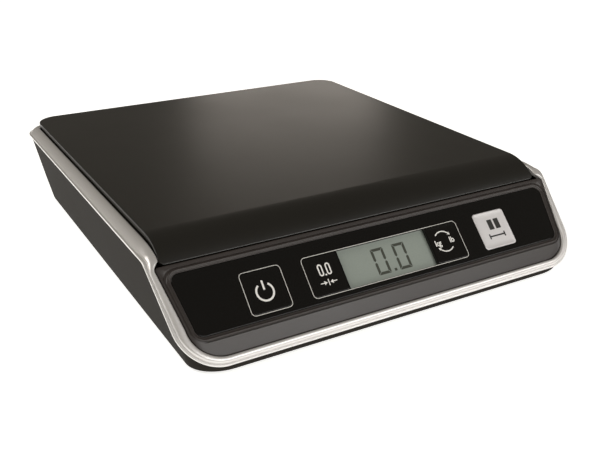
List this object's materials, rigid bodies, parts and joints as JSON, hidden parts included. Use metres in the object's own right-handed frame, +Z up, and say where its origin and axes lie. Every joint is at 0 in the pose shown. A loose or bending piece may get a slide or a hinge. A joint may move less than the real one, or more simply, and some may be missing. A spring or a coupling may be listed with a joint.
{
  "type": "platform shipping scale",
  "caption": "Low black parcel scale with a wide weighing platform, a silver trim ring and a sloping front panel with keys and a display.",
  "frame": {"origin": "centre of the footprint, on the surface that the feet stand on", "axes": "+X to the right seen from the front, +Y to the rear, away from the control panel, +Z up"},
  "size_m": [0.2164, 0.2414, 0.047],
  "materials": {
    "case_plastic": "fine moulded satin black ABS",
    "platform_plastic": "satin black ABS with a very fine grain",
    "silver_trim": "silver paint, satin on the shoulder and bright on the lip",
    "silver_key": "silver print on a film key, satin",
    "gloss_overlay": "high gloss black film",
    "display": "grey-green reflective liquid crystal display behind glass",
    "rubber": "matt black rubber",
    "aluminium": "machined or die-cast, satin",
    "plated_steel": "nickel-plated steel",
    "circuit_board": "green solder mask",
    "chip": "moulded epoxy",
    "coating": "white silicone potting",
    "battery_sleeve": "printed sleeve with no text",
    "lead": "PVC insulation"
  },
  "bodies": {
    "case": {"base_tray": "case_plastic", "deck": "case_plastic", "trim_ring": "silver_trim", "panel_frame": "case_plastic", "panel_overlay": "gloss_overlay", "display_glass": "display", "display_connector": "rubber", "key_board": "circuit_board", "key_dome_1": "plated_steel", "key_dome_2": "plated_steel", "key_dome_3": "plated_steel", "key_dome_4": "plated_steel", "main_board": "circuit_board", "controller_chip": "chip", "power_socket": "plated_steel", "battery_cell_1": "battery_sleeve", "battery_cell_2": "battery_sleeve", "battery_cell_3": "battery_sleeve", "battery_spring_1": "plated_steel", "battery_spring_2": "plated_steel", "battery_spring_3": "plated_steel", "battery_plate_1": "plated_steel", "battery_plate_2": "plated_steel", "battery_plate_3": "plated_steel", "foot_1": "rubber", "foot_2": "rubber", "foot_3": "rubber", "foot_4": "rubber", "case_screw_1": "plated_steel", "case_screw_2": "plated_steel", "case_screw_3": "plated_steel", "case_screw_4": "plated_steel", "load_cell": "aluminium", "gauge_coating": "coating", "cell_foot_block": "plated_steel", "cell_screw_1": "plated_steel", "cell_screw_2": "plated_steel", "overload_stop": "plated_steel", "panel_lead": "lead", "cell_lead": "lead"},
    "weighing_platform": {"platform": "platform_plastic", "platform_carrier": "aluminium", "carrier_pad_1": "rubber", "carrier_pad_2": "rubber", "carrier_pad_3": "rubber", "carrier_pad_4": "rubber", "cell_head_block": "plated_steel", "cell_screw_3": "plated_steel", "cell_screw_4": "plated_steel"},
    "power_button": {"power_key": "gloss_overlay"},
    "tare_button": {"tare_key": "gloss_overlay"},
    "unit_button": {"unit_key": "gloss_overlay"},
    "hold_button": {"hold_key": "silver_key"},
    "door": {"battery_door": "case_plastic"}
  },
  "joints": [
    {"name": "platform_sink", "type": "slide", "parent": "case", "child": "weighing_platform", "axis": [0, 0, 1], "range_m": [-0.0005, 0], "stiffness_N_per_m": 20000, "springref_m": 0.0003, "deforming": ["load_cell"]},
    {"name": "power_press", "type": "slide", "parent": "case", "child": "power_button", "axis": [0, 0.7071, -0.7071], "range_m": [0, 0.0004], "stiffness_N_per_m": 400, "springref_m": -0.0004},
    {"name": "tare_press", "type": "slide", "parent": "case", "child": "tare_button", "axis": [0, 0.7071, -0.7071], "range_m": [0, 0.0004], "stiffness_N_per_m": 400, "springref_m": -0.0004},
    {"name": "unit_press", "type": "slide", "parent": "case", "child": "unit_button", "axis": [0, 0.7071, -0.7071], "range_m": [0, 0.0004], "stiffness_N_per_m": 400, "springref_m": -0.0004},
    {"name": "hold_press", "type": "slide", "parent": "case", "child": "hold_button", "axis": [0, 0.7071, -0.7071], "range_m": [0, 0.0004], "stiffness_N_per_m": 400, "springref_m": -0.0004},
    {"name": "door_hinge", "type": "hinge", "parent": "case", "child": "door", "pos_m": [0, -0.0084, 0.0015], "axis": [1, 0, 0], "range_deg": [0, 75]}
  ]
}
